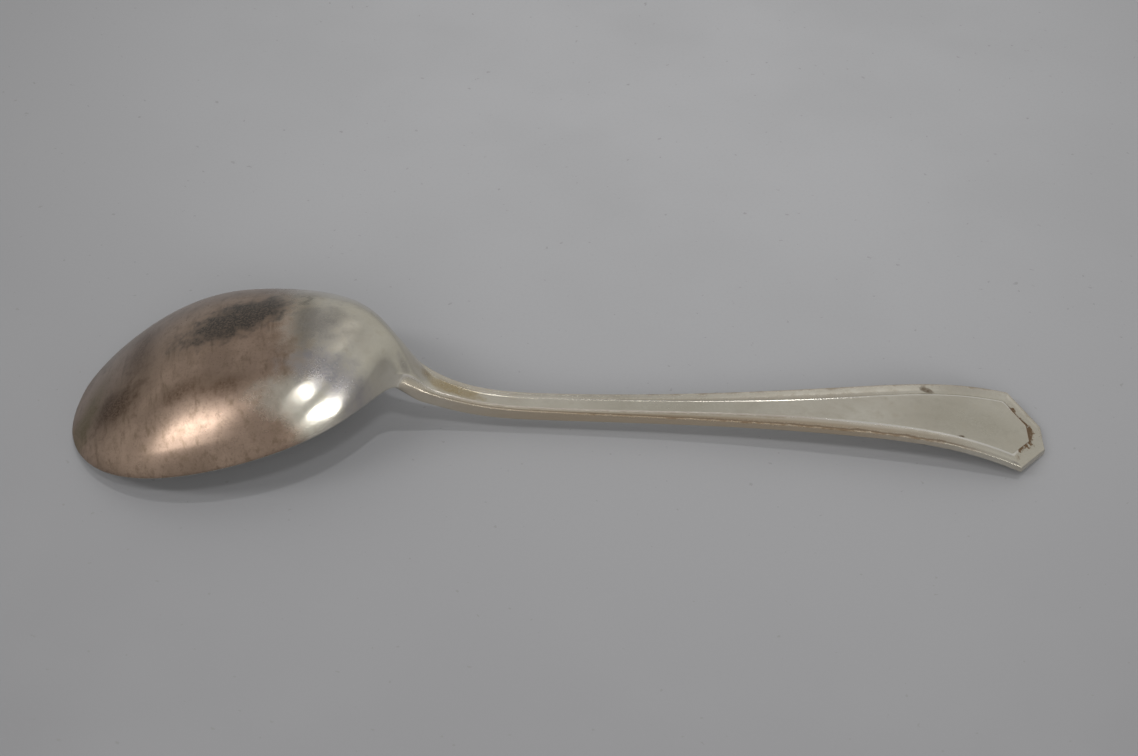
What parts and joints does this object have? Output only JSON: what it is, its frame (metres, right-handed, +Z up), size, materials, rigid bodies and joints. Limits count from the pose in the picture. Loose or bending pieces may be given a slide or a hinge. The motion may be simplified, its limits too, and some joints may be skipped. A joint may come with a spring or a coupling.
{
  "type": "soup spoon",
  "caption": "Plated soup spoon lying face down: a broad rounded bowl, a slim raised neck and a flaring flat handle with a channelled border and a blunt end with corner cuts.",
  "frame": {"origin": "centre of the bounding box, on the plane that the spoon lies on", "axes": "+X from the bowl's tip to the handle's end, +Z up from the resting plane, the bowl's back facing up"},
  "size_m": [0.18, 0.0492, 0.0254],
  "materials": {
    "base_metal": "brown-pink copper alloy, worn and tarnished",
    "silver": "polished silver plate, warm tarnish and fine scratches"
  },
  "bodies": {
    "root": {"base_metal_blank": "base_metal", "silver_plate": "silver"}
  },
  "joints": []
}
